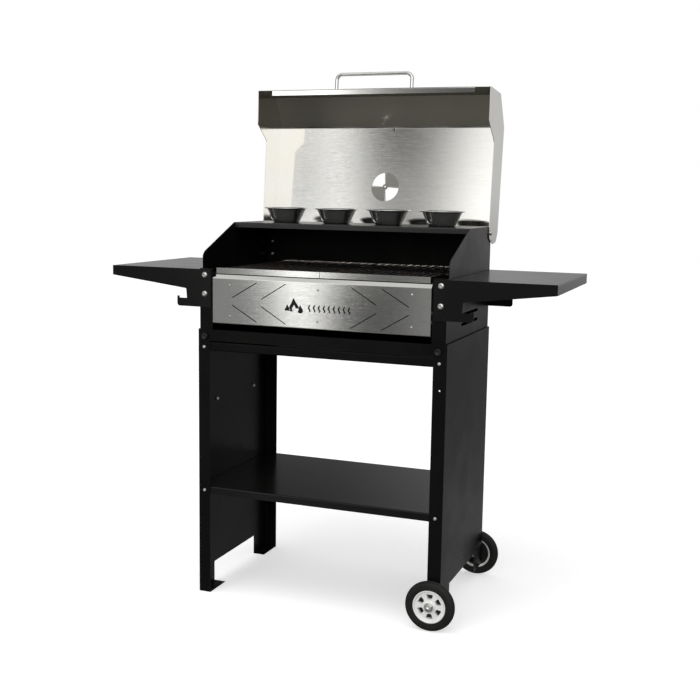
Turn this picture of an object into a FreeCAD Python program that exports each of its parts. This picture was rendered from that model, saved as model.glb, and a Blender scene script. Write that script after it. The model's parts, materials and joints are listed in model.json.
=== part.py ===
import FreeCAD, Part
import math
import os

# Charcoal trolley grill with a folded lid, two side tables, a pull-out fire drawer and two wheels.
# Millimetres. X runs to the right seen from the front, Y to the back, Z up.
# The origin is on the floor, midway between the trolley's two sides and between its front and back.

# Driving dimensions
trolleyHalfWidth = 318.0
trolleyHalfDepth = 197.0
trolleyTop = 645.0
sheet = 1.5
thinSheet = 1.2
bendInside = 1.5
flangeWidth = 32.0
legDepth = 80.0
leftNotchTop = 52.0
rightNotchTop = 86.0
rightLegBottom = 36.0
panTop = 673.0
bodyHalfWidth = 314.0
bodyHalfDepth = 193.5
postInside = 280.0
tableTop = 820.0
shieldTop = 930.0
tableReach = 562.0
shelfTop = 276.0
wheelRadius = 60.0
hubRadius = 40.0
wheelX = 299.0
wheelInnerY = 201.0
wheelWidth = 22.0
axleRadius = 5.0
drawerBottom = 689.0
drawerTop = 808.0
drawerHalfWidth = 277.5
trayHalfWidth = 268.0
grateBottom = 810.3
grateHeight = 14.2
grateWidth = 271.4
grateHalfDepth = 187.0
rodSpacing = 20.5
rodRadius = 2.2
hingeY = 180.0
hingeZ = 914.0
lidSideInside = 315.3
cupSpacing = 142.0
cupY = 92.0
screwRows = (629.0, 266.0)
tableBoltRows = (806.0, 760.0)
rivetSpots = [(x, z) for x in (-232.0, 0.0, 232.0) for z in (708.0, 783.0)]

# The lid's outline seen from its side, open, from the lip at the front to the foot of the tall panel
lidFront = (134.0, 1275.0)
lidBrow = (240.0, 1265.0)
lidShoulder = (287.0, 1184.0)
lidFoot = (255.5, 921.0)
lidLipDrop = 14.0
lipHalfWidth = 276.0
handleHalfWidth = 103.0
handleAlong = 80.0
ventAlong = 106.0
ventRadius = 39.5
stopPin = (bodyHalfDepth + 4.4, hingeZ - 19.0)

V = FreeCAD.Vector


def save(name, *solids):
    """Writes one node as a STEP file: a single solid, or a group of separate ones."""
    shape = solids[0] if len(solids) == 1 else Part.makeCompound(list(solids))
    shape.exportStep(f"parts/{name}.step")


def box(x, y, z):
    """A block between the two limits given for each axis."""
    return Part.makeBox(x[1] - x[0], y[1] - y[0], z[1] - z[0], V(x[0], y[0], z[0]))


def rod(start, end, radius):
    """A round bar from one point to another."""
    along = V(*end) - V(*start)
    return Part.makeCylinder(radius, along.Length, V(*start), along)


def turned(profile, centre, axis):
    """A solid of revolution: the profile lists (radius, distance along the axis) corners."""
    edges = Part.makePolygon([V(r, 0, h) for r, h in profile] + [V(profile[0][0], 0, profile[0][1])])
    solid = Part.Face(edges).revolve(V(0, 0, 0), V(0, 0, 1), 360)
    solid.Placement = FreeCAD.Placement(V(*centre), FreeCAD.Rotation(V(0, 0, 1), V(*axis)))
    return solid


def roundedCorner(before, corner, after):
    """One corner of an outline: its point, or the start, middle and end of its arc."""
    if len(corner) < 3:
        return [corner]
    here = V(corner[0], corner[1], 0)
    back = (V(before[0], before[1], 0) - here).normalize()
    ahead = (V(after[0], after[1], 0) - here).normalize()
    halfAngle = back.getAngle(ahead) / 2
    middleLine = (back + ahead).normalize()
    reach = corner[2] / math.tan(halfAngle)
    centre = here + middleLine * (corner[2] / math.sin(halfAngle))
    points = (here + back * reach, centre - middleLine * corner[2], here + ahead * reach)
    return [(p.x, p.y) for p in points]


def outline(points, place):
    """A flat face. Each point is (a, b), or (a, b, radius) for a rounded corner."""
    count = len(points)
    corners = [roundedCorner(points[i - 1], points[i], points[(i + 1) % count]) for i in range(count)]
    edges = []
    for i, corner in enumerate(corners):
        if len(corner) == 3:
            edges.append(Part.Arc(*[place(p) for p in corner]).toShape())
        start = place(corner[-1])
        end = place(corners[(i + 1) % count][0])
        if start.distanceToPoint(end) > 1e-6:
            edges.append(Part.makeLine(start, end))
    return Part.Face(Part.Wire(edges))


def sidePlate(points, x):
    """A plate parallel to the trolley's sides: (y, z) points, between two X positions."""
    return outline(points, lambda p: V(x[0], p[0], p[1])).extrude(V(x[1] - x[0], 0, 0))


def frontPlate(points, y):
    """A plate parallel to the trolley's front: (x, z) points, between two Y positions."""
    return outline(points, lambda p: V(p[0], y[0], p[1])).extrude(V(0, y[1] - y[0], 0))


def foldedOutline(path, thickness):
    """The closed outline of a bent sheet. The path runs along one face, and a positive thickness
    lies to the left of it."""
    steps = [V(b[0] - a[0], b[1] - a[1], 0).normalize() for a, b in zip(path, path[1:])]
    lefts = [V(-s.y, s.x, 0) for s in steps]
    near = [path[0]]
    first = lefts[0] * thickness
    far = [(path[0][0] + first.x, path[0][1] + first.y)]
    for i in range(1, len(path) - 1):
        turn = steps[i - 1].cross(steps[i]).z
        sameSide = turn * thickness > 0
        shift = (lefts[i - 1] + lefts[i]) * (thickness / (1 + lefts[i - 1].dot(lefts[i])))
        outside = bendInside + abs(thickness)
        near.append((*path[i], outside if sameSide else bendInside))
        far.append((path[i][0] + shift.x, path[i][1] + shift.y, bendInside if sameSide else outside))
    last = lefts[-1] * thickness
    near.append(path[-1])
    far.append((path[-1][0] + last.x, path[-1][1] + last.y))
    return near + far[::-1]


def foldedUpright(path, thickness, z):
    """A bent sheet whose folds stand upright: (x, y) points."""
    face = outline(foldedOutline(path, thickness), lambda p: V(p[0], p[1], z[0]))
    return face.extrude(V(0, 0, z[1] - z[0]))


def foldedAcross(path, thickness, x):
    """A bent sheet whose folds run left to right: (y, z) points."""
    face = outline(foldedOutline(path, thickness), lambda p: V(x[0], p[0], p[1]))
    return face.extrude(V(x[1] - x[0], 0, 0))


def foldedDeep(path, thickness, y):
    """A bent sheet whose folds run front to back: (x, z) points."""
    face = outline(foldedOutline(path, thickness), lambda p: V(p[0], y[0], p[1]))
    return face.extrude(V(0, y[1] - y[0], 0))


def mirrored(shape, normal):
    return shape.mirror(V(0, 0, 0), V(*normal))


def bothSides(shape):
    """A shape and its reflection on the other side of the trolley."""
    return [shape, mirrored(shape, (1, 0, 0))]


def fourCorners(shapes):
    """Shapes at one corner of the trolley, repeated at the other three."""
    pairs = [s for shape in shapes for s in bothSides(shape)]
    return pairs + [mirrored(s, (0, 1, 0)) for s in pairs]


def buttonScrew(seat, axis, headRadius, headHeight, shankRadius, length):
    """A domed socket screw. The seat is the underside of its head, and the axis points out of it."""
    flat = headRadius * 0.55
    profile = [(0, -length), (shankRadius, -length), (shankRadius, 0), (headRadius, 0),
               (headRadius, headHeight * 0.35), (headRadius * 0.86, headHeight * 0.8),
               (flat, headHeight), (0, headHeight)]
    screw = turned(profile, (0, 0, 0), (0, 0, 1))
    socket = Part.Face(Part.makePolygon([
        V(flat * 0.85 * math.cos(math.radians(60 * k)), flat * 0.85 * math.sin(math.radians(60 * k)),
          headHeight * 0.3) for k in range(7)])).extrude(V(0, 0, headHeight))
    screw = screw.cut(socket)
    screw.Placement = FreeCAD.Placement(V(*seat), FreeCAD.Rotation(V(0, 0, 1), V(*axis)))
    return screw


def hexNut(seat, axis, acrossFlats, height, boreRadius):
    """A hexagon nut. The seat is its resting face, and the axis points away from it."""
    radius = acrossFlats / math.sqrt(3)
    corners = [V(radius * math.cos(math.radians(60 * k)), radius * math.sin(math.radians(60 * k)), 0)
               for k in range(7)]
    nut = Part.Face(Part.makePolygon(corners)).extrude(V(0, 0, height))
    nut = nut.cut(Part.makeCylinder(boreRadius, height))
    nut.Placement = FreeCAD.Placement(V(*seat), FreeCAD.Rotation(V(0, 0, 1), V(*axis)))
    return nut


def slot(length, height, centre, depth):
    """A through cut with round ends in a side panel, long in Y."""
    r = height / 2
    y, z = centre
    points = [(y - length / 2, z - r, r * 0.98), (y + length / 2, z - r, r * 0.98),
              (y + length / 2, z + r, r * 0.98), (y - length / 2, z + r, r * 0.98)]
    return sidePlate(points, depth)


# --- Trolley ---

def trolleySide(bottom, notchTop, hasFeet):
    """The left side: one sheet with its front and back edges folded in, and a gap between its legs."""
    w, d = trolleyHalfWidth, trolleyHalfDepth
    inner = w - flangeWidth
    path = [(-inner, -d), (-w, -d), (-w, d), (-inner, d)]
    side = foldedUpright(path, -sheet, (bottom, trolleyTop))
    gap = d - legDepth
    side = side.cut(box((-w - 1, -w + 3), (-gap, gap), (bottom - 1, notchTop)))
    if hasFeet:
        for y in ((-d + sheet, -gap), (gap, d - sheet)):
            side = side.fuse(box((-w + sheet, -inner), y, (0, sheet)))
    for z in screwRows:
        for end in (-1, 1):
            side = side.cut(rod((-w + 17, end * (d + 1), z), (-w + 17, end * (d - 3), z), 2.6))
    return side.removeSplitter()


def makeTrolleySides():
    left = trolleySide(0, leftNotchTop, True)
    for y in (-105, 105):
        left = left.cut(rod((-trolleyHalfWidth - 1, y, 483), (-trolleyHalfWidth + 3, y, 483), 2.6))
    right = mirrored(trolleySide(rightLegBottom, rightNotchTop, False), (1, 0, 0))
    for end in (-1, 1):
        hole = rod((wheelX, end * 190, wheelRadius), (wheelX, end * 200, wheelRadius), axleRadius)
        right = right.cut(hole)
    right = right.cut(rod((303, -200, 567), (303, -190, 567), 2.0))
    save("trolley_side_left", left)
    save("trolley_side_right", right)


def makeTrolleyRails():
    """Channels that tie the two sides together under the pan, front and back."""
    reach = trolleyHalfWidth - sheet - bendInside - 0.1
    face = trolleyHalfDepth - sheet
    path = [(-face + 22, 642), (-face, 642), (-face, 620), (-face + 22, 620)]
    front = foldedAcross(path, sheet, (-reach, reach))
    for x in (-301, 301):
        front = front.cut(rod((x, -200, 629), (x, -190, 629), 2.6))
    save("trolley_rail_front", front)
    save("trolley_rail_rear", mirrored(front, (0, 1, 0)))


def makeBottomShelf():
    """A tray turned upside down: a flat top with its four edges folded down."""
    reach = trolleyHalfWidth - sheet - bendInside - 0.1
    face = trolleyHalfDepth - sheet
    low = shelfTop - 19
    path = [(-face, low), (-face, shelfTop), (face, shelfTop), (face, low)]
    shelf = foldedAcross(path, -sheet, (-reach, reach))
    for side in (-1, 1):
        wall = sorted((side * reach, side * (reach - sheet)))
        shelf = shelf.fuse(box(wall, (-face + 3, face - 3), (low, shelfTop - sheet / 2)))
    for x in (-301, 301):
        for end in (-1, 1):
            shelf = shelf.cut(rod((x, end * 200, 266), (x, end * 188, 266), 2.6))
    save("bottom_shelf", shelf.removeSplitter())


def makeBasePan():
    """The shallow pan that the fire box stands in, on top of the trolley."""
    w, d = trolleyHalfWidth, trolleyHalfDepth
    plan = [(-w, -d, 3), (w, -d, 3), (w, d, 3), (-w, d, 3)]
    inside = [(-w + sheet, -d + sheet, 1.5), (w - sheet, -d + sheet, 1.5),
              (w - sheet, d - sheet, 1.5), (-w + sheet, d - sheet, 1.5)]
    pan = outline(plan, lambda p: V(p[0], p[1], trolleyTop)).extrude(V(0, 0, panTop - trolleyTop))
    hollow = outline(inside, lambda p: V(p[0], p[1], trolleyTop + sheet))
    pan = pan.cut(hollow.extrude(V(0, 0, panTop - trolleyTop)))
    for x in (-298, 298):
        for end in (-1, 1):
            pan = pan.cut(rod((x, end * 200, 656), (x, end * 194, 656), 3.1))
    save("base_pan", pan)


# --- Fire box and wind shield ---

def makeBodySides():
    """Each side is one sheet: the fire box wall, the sloping wind shield above it, the front post and
    the back flange folded in."""
    w, d = bodyHalfWidth, bodyHalfDepth
    foot = trolleyTop + sheet + 0.1
    wall = sidePlate([(-d, foot), (d, foot), (d, shieldTop, 4), (-12, shieldTop, 8), (-170, 863, 8),
                      (-180, 853, 6), (-180, tableTop + 2), (-d, tableTop + 2)], (-w, -w + sheet))
    post = box((-w, -postInside), (-d, -d + sheet), (foot, tableTop + 2))
    cap = box((-w, -postInside), (-d, -180), (tableTop + 2 - sheet, tableTop + 2))
    flange = box((-w, -w + 24), (d - sheet, d), (foot, shieldTop - 4))
    side = wall.fuse([post, cap, flange])
    for z in (728, 705):
        side = side.cut(slot(150, 7.5, (10, z), (-w - 1, -w + 3)))
    for z in tableBoltRows:
        for end in (-1, 1):
            side = side.cut(rod((-300, end * 200, z), (-300, end * 188, z), 4.1))
    for end in (-1, 1):
        side = side.cut(rod((-298, end * 200, 656), (-298, end * 188, 656), 3.1))
    for z in (700, 840, 874):
        side = side.cut(rod((-299, 188, z), (-299, 200, z), 2.1))
    side = side.cut(rod((-w - 1, hingeY, hingeZ), (-w + 3, hingeY, hingeZ), 3.05))
    side = side.removeSplitter()
    save("body_side_left", side)
    save("body_side_right", mirrored(side, (1, 0, 0)))


def makeBodyBack():
    """The back panel, screwed to the sides' back flanges."""
    back = bodyHalfDepth - sheet
    reach = bodyHalfWidth - sheet - 0.4
    panel = box((-reach, reach), (back - sheet, back), (trolleyTop + sheet + 0.1, shieldTop - 14))
    for side in (-1, 1):
        for z in (700, 840, 874):
            panel = panel.cut(rod((side * 299, 188, z), (side * 299, 200, z), 2.1))
        for z in tableBoltRows:
            panel = panel.cut(rod((side * 300, 188, z), (side * 300, 200, z), 4.1))
        panel = panel.cut(rod((side * 298, 188, 656), (side * 298, 200, 656), 3.1))
    save("body_back", panel)
    heads = []
    for x in (-299, 299):
        for z in (700, 840, 874):
            seat = (x, back - sheet, z)
            heads.append(buttonScrew(seat, (0, -1, 0), 3.6, 2.0, 2.0, 3.6))
    save("back_panel_screws", *heads)


def makeSpiceShelf():
    """The shelf across the top of the wind shield, with its front and back edges folded down."""
    back = bodyHalfDepth - 2 * sheet - 0.2
    reach = bodyHalfWidth - sheet - 0.2
    path = [(-12, shieldTop - 13), (-12, shieldTop), (back, shieldTop), (back, shieldTop - 13)]
    save("condiment_shelf", foldedAcross(path, -sheet, (-reach, reach)))


def makeGrateRests():
    """Ledges round the inside of the fire box that carry the cooking grates. The rear one stops short
    of the table nuts."""
    top = grateBottom - 0.3
    reach = bodyHalfWidth - sheet - 0.2
    back = bodyHalfDepth - 2 * sheet - 0.1
    front = foldedAcross([(-186, top - 14), (-186, top), (-160, top)], -sheet, (-reach, reach))
    rear = foldedAcross([(back, top - 14), (back, top), (162, top)], sheet, (-290, 290))
    left = foldedDeep([(-reach, top - 14), (-reach, top), (-264, top)], -sheet, (-159.5, 161.5))
    save("grate_rest_front", front)
    save("grate_rest_rear", rear)
    save("grate_rest_left", left)
    save("grate_rest_right", mirrored(left, (1, 0, 0)))


def makeDrawerRails():
    """Angles inside the fire box that the drawer's tray slides on, below the vent slots."""
    reach = bodyHalfWidth - sheet - 0.1
    top = drawerBottom + 2.7
    under = top - sheet
    rail = foldedDeep([(-reach, top + 8), (-reach, under), (-256, under)], sheet, (-182, 180))
    save("drawer_rail_left", rail)
    save("drawer_rail_right", mirrored(rail, (1, 0, 0)))


# --- Side tables ---

def tableArm(y):
    """One end of the right-hand table: an ear on the post, a utensil hook, and an arm that tapers."""
    points = [(284, tableTop), (tableReach, tableTop), (tableReach, 796), (352, 771, 3), (350, 747, 1.5),
              (371, 747, 1), (371, 752), (377, 752), (377, 727, 7), (284, 727)]
    return frontPlate(points, y)


def makeSideTables():
    """Each table is one sheet: a flat top, a lip at its outer end, and an arm at the front and back."""
    d = bodyHalfDepth + 0.1
    inner = bodyHalfWidth + 1.7
    outer = tableReach
    lip = [(inner, tableTop), (outer, tableTop), (outer, 796)]
    top = foldedDeep(lip, -sheet, (-d - sheet + 0.5, d + sheet - 0.5))
    table = top.fuse([tableArm((-d - sheet, -d)), tableArm((d, d + sheet))])
    for z in tableBoltRows:
        for end in (-1, 1):
            table = table.cut(rod((300, end * 200, z), (300, end * 188, z), 4.1))
    table = table.removeSplitter()
    save("side_table_right", table)
    save("side_table_left", mirrored(table, (1, 0, 0)))


def makeTableFasteners():
    """Button-head bolts through each table's ears and the posts, with nuts inside."""
    face = bodyHalfDepth + 0.1 + sheet
    bolts, nuts = [], []
    for z in tableBoltRows:
        for end, sheets, length in ((-1, 1, 9), (1, 2, 11)):
            bolt = buttonScrew((300, end * face, z), (0, end, 0), 7.3, 4.2, 4.0, length)
            nut = hexNut((300, end * (bodyHalfDepth - sheets * sheet), z), (0, -end, 0), 13, 6, 4.05)
            bolts += bothSides(bolt)
            nuts += bothSides(nut)
    save("table_bolts", *bolts)
    save("table_nuts", *nuts)


# --- Trolley fasteners ---

def makeTrolleyFasteners():
    """Screws for the rails and the shelf, two more in the left side, and the thumb screws of the pan."""
    screws = []
    nuts = []
    inside = trolleyHalfDepth - 2 * sheet
    for z in screwRows:
        screws.append(buttonScrew((301, -trolleyHalfDepth, z), (0, -1, 0), 4.3, 2.6, 2.5, 8.5))
        nuts.append(hexNut((301, -inside, z), (0, 1, 0), 8, 4, 2.55))
    screws = fourCorners(screws)
    nuts = fourCorners(nuts)
    for y in (-105, 105):
        seat = (-trolleyHalfWidth, y, 483)
        screws.append(buttonScrew(seat, (-1, 0, 0), 4.3, 2.6, 2.5, 7.5))
        nuts.append(hexNut((-trolleyHalfWidth + sheet, y, 483), (1, 0, 0), 8, 4, 2.55))
    save("trolley_screws", *screws)
    save("trolley_nuts", *nuts)
    profile = [(0, -9), (3.0, -9), (3.0, 0), (8.2, 0), (8.2, 6.4), (7.2, 7.6), (0, 7.6)]
    knob = turned(profile, (298, -trolleyHalfDepth, 656), (0, -1, 0))
    save("pan_thumb_screws", *fourCorners([knob]))


# --- Wheels ---

def wheelEnd(y, side):
    """A point on a wheel's axis, at a distance from the trolley's middle towards front or back."""
    return (wheelX, side * y, wheelRadius)


def makeWheel(name, side):
    """A solid tyre on a moulded hub with six windows and a running bore."""
    start = wheelEnd(wheelInnerY, side)
    width = wheelWidth
    tyre = [(hubRadius, 1), (50, 0.5), (54.8, 1.6), (58.4, 4.6), (wheelRadius, 8.6),
            (wheelRadius, width - 8.6), (58.4, width - 4.6), (54.8, width - 1.6), (50, width - 0.5),
            (hubRadius, width - 1)]
    save(f"{name}_tyre", turned(tyre, start, (0, side, 0)))
    bore = axleRadius + 0.05
    hub = [(bore, 0), (11, 0), (11, 6), (33, 7), (35, 2.5), (hubRadius, 2.5), (hubRadius, width - 2.5),
           (35, width - 2.5), (33, width - 7), (13, width - 5.5), (11, width), (bore, width)]
    body = turned(hub, (0, 0, 0), (0, 0, 1))
    for k in range(6):
        window = Part.makeCylinder(5.4, width + 2, V(23.5, 0, -1))
        window.rotate(V(0, 0, 0), V(0, 0, 1), 60 * k + 30)
        body = body.cut(window)
    body.Placement = FreeCAD.Placement(V(*start), FreeCAD.Rotation(V(0, 0, 1), V(0, side, 0)))
    save(f"{name}_hub", body)


def makeAxles():
    """A shoulder bolt for each wheel, through the right side's flange, with its bush, washer and nut."""
    bolts, bushes, washers, nuts = [], [], [], []
    inside = trolleyHalfDepth - sheet
    outer = wheelInnerY + wheelWidth
    for side in (-1, 1):
        out = (0, side, 0)
        head = hexNut(wheelEnd(inside, side), (0, -side, 0), 16, 6, 1)
        core = rod(wheelEnd(inside - 6, side), wheelEnd(outer + 9, side), axleRadius)
        bolts.append(core.fuse(head).removeSplitter())
        gap = wheelInnerY - trolleyHalfDepth
        bushes.append(turned([(axleRadius, 0), (9, 0), (9, gap - 0.3), (axleRadius, gap - 0.3)],
                             wheelEnd(trolleyHalfDepth, side), out))
        washers.append(turned([(axleRadius, 0), (11, 0), (11, 1.6), (axleRadius, 1.6)],
                              wheelEnd(outer + 0.3, side), out))
        nut = hexNut(wheelEnd(outer + 1.9, side), out, 16, 8, axleRadius)
        dome = turned([(0, 7.4), (7.4, 7.4), (7.2, 9.3), (6, 11.2), (3.5, 12.6), (0, 13)],
                      wheelEnd(outer + 1.9, side), out)
        nuts.append(nut.fuse(dome).removeSplitter())
    save("axle_bolts", *bolts)
    save("axle_bushes", *bushes)
    save("axle_washers", *washers)
    save("axle_nuts", *nuts)


# --- Lid ---

def lidPlane(foot, head, along, out):
    """A placement on one of the lid's panels: X across, Y up along the panel, Z out of the lid."""
    rise = V(0, head[0] - foot[0], head[1] - foot[1]).normalize()
    normal = V(1, 0, 0).cross(rise) * -1
    origin = V(0, foot[0], foot[1]) + rise * along + normal * out
    turn = FreeCAD.Rotation(V(-1, 0, 0), rise, normal, "ZYX")
    return FreeCAD.Placement(origin, turn)


def sector(radius, innerRadius, start, sweep, height):
    """A pie slice with a round hole at its point, lying flat."""
    slice = Part.makeCylinder(radius, height, V(0, 0, 0), V(0, 0, 1), sweep)
    slice.rotate(V(0, 0, 0), V(0, 0, 1), start)
    return slice.cut(Part.makeCylinder(innerRadius, height))


def makeLidShell():
    """One sheet folded into the lid's front lip, brow, shoulder and tall panel."""
    lipEnd = (lidFront[0] + 0.5, lidFront[1] - lidLipDrop)
    wide = foldedAcross([lidFront, lidBrow, lidShoulder, lidFoot], -thinSheet,
                        (-lidSideInside, lidSideInside))
    lip = foldedAcross([lipEnd, lidFront, lidBrow], -thinSheet, (-lipHalfWidth, lipHalfWidth))
    shell = wide.fuse(lip)
    vent = lidPlane(lidFoot, lidShoulder, ventAlong, 0)
    for start in (5, 185):
        opening = sector(38, 6.5, start, 80, 12)
        opening.translate(V(0, 0, -6))
        opening.Placement = vent.multiply(opening.Placement)
        shell = shell.cut(opening)
    pivot = Part.makeCylinder(2.5, 12, V(0, 0, -6))
    pivot.Placement = vent.multiply(pivot.Placement)
    shell = shell.cut(pivot)
    gauge = Part.makeCylinder(3.05, 12, V(0, 0, -6))
    gauge.Placement = lidPlane(lidShoulder, lidBrow, 32, 0).multiply(gauge.Placement)
    shell = shell.cut(gauge)
    for x in (-handleHalfWidth, handleHalfWidth):
        hole = Part.makeCylinder(2.1, 12, V(x, 0, -6))
        hole.Placement = lidPlane(lidBrow, lidFront, handleAlong, 0).multiply(hole.Placement)
        shell = shell.cut(hole)
    save("lid_shell", shell.removeSplitter())


def makeLidSides():
    """The lid's cheeks, which reach down outside the wind shield to the hinge bolts."""
    points = [(lidFront[0] - 1, lidFront[1], 3), (lidBrow[0], lidBrow[1] + 0.6, 4),
              (lidShoulder[0] + 0.8, lidShoulder[1], 6), (254.5, 912, 14), (238, 889, 14), (204, 884, 24),
              (165, 902, 16), (166, 928, 10), (184, 1146, 8), (131, 1187, 8)]
    plate = sidePlate(points, (lidSideInside, lidSideInside + sheet))
    plate = plate.cut(rod((310, hingeY, hingeZ), (320, hingeY, hingeZ), 3.06))
    plate = plate.cut(rod((310, stopPin[0], stopPin[1]), (320, stopPin[0], stopPin[1]), 2.5))
    save("lid_side_right", plate)
    save("lid_side_left", mirrored(plate, (1, 0, 0)))


def makeLidHinges():
    """Shoulder bolts that the lid turns on, their nuts inside the wind shield, and the two pins behind
    the wind shield that hold the open lid."""
    collar = lidSideInside - bodyHalfWidth
    seat = lidSideInside + sheet + 0.2 - bodyHalfWidth
    profile = [(0, -10), (3, -10), (3, 0), (7, 0), (7, collar - 0.2), (3, collar - 0.2), (3, seat),
               (6.6, seat), (6.6, seat + 1.4), (5.2, seat + 3.2), (0, seat + 3.6)]
    bolt = turned(profile, (bodyHalfWidth, hingeY, hingeZ), (1, 0, 0))
    nut = hexNut((bodyHalfWidth - sheet, hingeY, hingeZ), (-1, 0, 0), 10, 5, 3.05)
    inner = lidSideInside - 5.5
    outer = lidSideInside + sheet + 1.0
    pin = turned([(0, 0), (4, 0), (4, 5.5), (2.5, 5.5), (2.5, outer - inner), (0, outer - inner)],
                 (inner, stopPin[0], stopPin[1]), (1, 0, 0))
    save("hinge_bolts", *bothSides(bolt))
    save("hinge_nuts", *bothSides(nut))
    save("lid_stop_pins", *bothSides(pin))


def makeLidHandle():
    """A bent tube standing on the brow panel, held by two screws from inside the lid."""
    half, height, bend, radius = handleHalfWidth, 42.0, 15.0, 4.6
    swing = bend * math.cos(math.radians(45))
    left = [V(-half, 0, 0), V(-half, 0, height - bend)]
    leftMiddle = V(-half + bend - swing, 0, height - bend + swing)
    top = [V(-half + bend, 0, height), V(half - bend, 0, height)]
    rightMiddle = V(half - bend + swing, 0, height - bend + swing)
    right = [V(half, 0, height - bend), V(half, 0, 0)]
    path = Part.Wire([
        Part.makeLine(left[0], left[1]),
        Part.Arc(left[1], leftMiddle, top[0]).toShape(),
        Part.makeLine(top[0], top[1]),
        Part.Arc(top[1], rightMiddle, right[0]).toShape(),
        Part.makeLine(right[0], right[1]),
    ])
    ring = Part.Wire([Part.makeCircle(radius, left[0], V(0, 0, 1))])
    tube = path.makePipeShell([ring], True, True)
    for x in (-half, half):
        tube = tube.cut(Part.makeCylinder(2.0, 12, V(x, 0, 0)))
    place = lidPlane(lidBrow, lidFront, handleAlong, 0.1)
    tube.Placement = place.multiply(tube.Placement)
    save("lid_handle", tube)
    screws = []
    for x in (-half, half):
        screw = buttonScrew((x, 0, -thinSheet - 0.1), (0, 0, -1), 4.2, 2.4, 2.0, 12)
        screw.Placement = place.multiply(screw.Placement)
        screws.append(screw)
    save("handle_screws", *screws)


def makeThermometer():
    """A round gauge on the outside of the shoulder panel, with its stem and wing nut inside the lid."""
    place = lidPlane(lidShoulder, lidBrow, 32, 0.1)

    def onPanel(shape):
        shape.Placement = place.multiply(shape.Placement)
        return shape

    case = turned([(3.2, 0), (20, 0), (25, 3), (25, 11), (23.4, 12), (22.6, 11), (22.6, 5), (3.2, 5)],
                  (0, 0, 0), (0, 0, 1))
    dial = turned([(3.2, 5), (22.5, 5), (22.5, 6), (3.2, 6)], (0, 0, 0), (0, 0, 1))
    needle = frontPlate([(-1.2, 6), (-1.2, 7), (1.2, 7), (1.2, 6)], (-6, 16))
    needle.rotate(V(0, 0, 0), V(0, 0, 1), 55)
    glass = Part.makeCylinder(22.5, 1.4, V(0, 0, 9))
    stem = Part.makeCylinder(3.0, 46, V(0, 0, -40))
    wings = Part.makeCylinder(6, 6, V(0, 0, -7.6))
    for end in (-1, 1):
        wing = frontPlate([(0, -7.6), (end * 11, -11.5, 2), (end * 13, -4.5, 2), (0, -1.6)], (-1, 1))
        wings = wings.fuse(wing)
    wings = wings.cut(Part.makeCylinder(3.05, 20, V(0, 0, -15)))
    save("thermometer_case", onPanel(case))
    save("thermometer_dial", onPanel(dial), onPanel(needle))
    save("thermometer_glass", onPanel(glass))
    save("thermometer_stem", onPanel(stem))
    save("thermometer_wing_nut", onPanel(wings.removeSplitter()))


def makeVent():
    """A butterfly damper that turns on a rivet inside the tall panel and covers its two openings."""
    place = lidPlane(lidFoot, lidShoulder, ventAlong, 0)
    gap = thinSheet + 0.3
    blade = Part.makeCylinder(7.5, 1.0)
    for start in (92, 272):
        blade = blade.fuse(sector(ventRadius, 1, start, 86, 1.0))
    tab = box((-2.5, 2.5), (-32, -31), (-8, 1))
    tab.rotate(V(0, 0, 0), V(0, 0, 1), 8)
    blade = blade.fuse(tab).cut(Part.makeCylinder(2.56, 1.0))
    blade.translate(V(0, 0, -gap - 1.0))
    rivet = turned([(0, 1.4), (3.0, 1.2), (4.2, 0), (2.5, 0), (2.5, -gap - 1.2), (4.6, -gap - 1.2),
                    (3.4, -gap - 2.8), (0, -gap - 3.2)], (0, 0, 0), (0, 0, 1))
    blade.Placement = place.multiply(blade.Placement)
    rivet.Placement = place.multiply(rivet.Placement)
    save("vent_damper", blade.removeSplitter())
    save("vent_rivet", rivet)


# --- Fire drawer ---

def strokeSlot(start, end, width, y):
    """A narrow through cut between two points of the drawer front."""
    along = V(end[0] - start[0], 0, end[1] - start[1])
    side = V(-along.z, 0, along.x).normalize() * (width / 2)
    a = V(start[0], y[0], start[1])
    b = a + along
    face = Part.Face(Part.makePolygon([a + side, b + side, b - side, a - side, a + side]))
    return face.extrude(V(0, y[1] - y[0], 0))


def makeDrawerFront():
    """The slotted front: a flat face with its top edge sloped back and all its edges turned in."""
    face = -196.0
    w = drawerHalfWidth
    back = face + 8.5
    path = [(face + 12, drawerBottom), (face, drawerBottom), (face, drawerTop - 8), (back, drawerTop)]
    front = foldedAcross(path, -thinSheet, (-w, w))
    for side in (-1, 1):
        x = sorted((side * w, side * (w - thinSheet)))
        front = front.fuse(sidePlate([(face + 0.6, drawerBottom + 0.6), (face + 12, drawerBottom + 0.6),
                                      (face + 12, drawerTop - 19), (face + 9, drawerTop - 13),
                                      (face + 9, drawerTop - 8), (face + 0.6, drawerTop - 8)], x))
    strokes = [((83, 697), (147, 736)), ((159, 697), (225, 736)), ((83, 793), (147, 754)),
               ((159, 793), (225, 754))]
    for low, high in strokes:
        for side in (-1, 1):
            start, end = (side * low[0], low[1]), (side * high[0], high[1])
            front = front.cut(strokeSlot(start, end, 2.2, (face - 1, face + 3)))
    for x, z in rivetSpots:
        front = front.cut(rod((x, face - 1, z), (x, face + 3, z), 2.0))
    save("drawer_front", front.removeSplitter())


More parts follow.
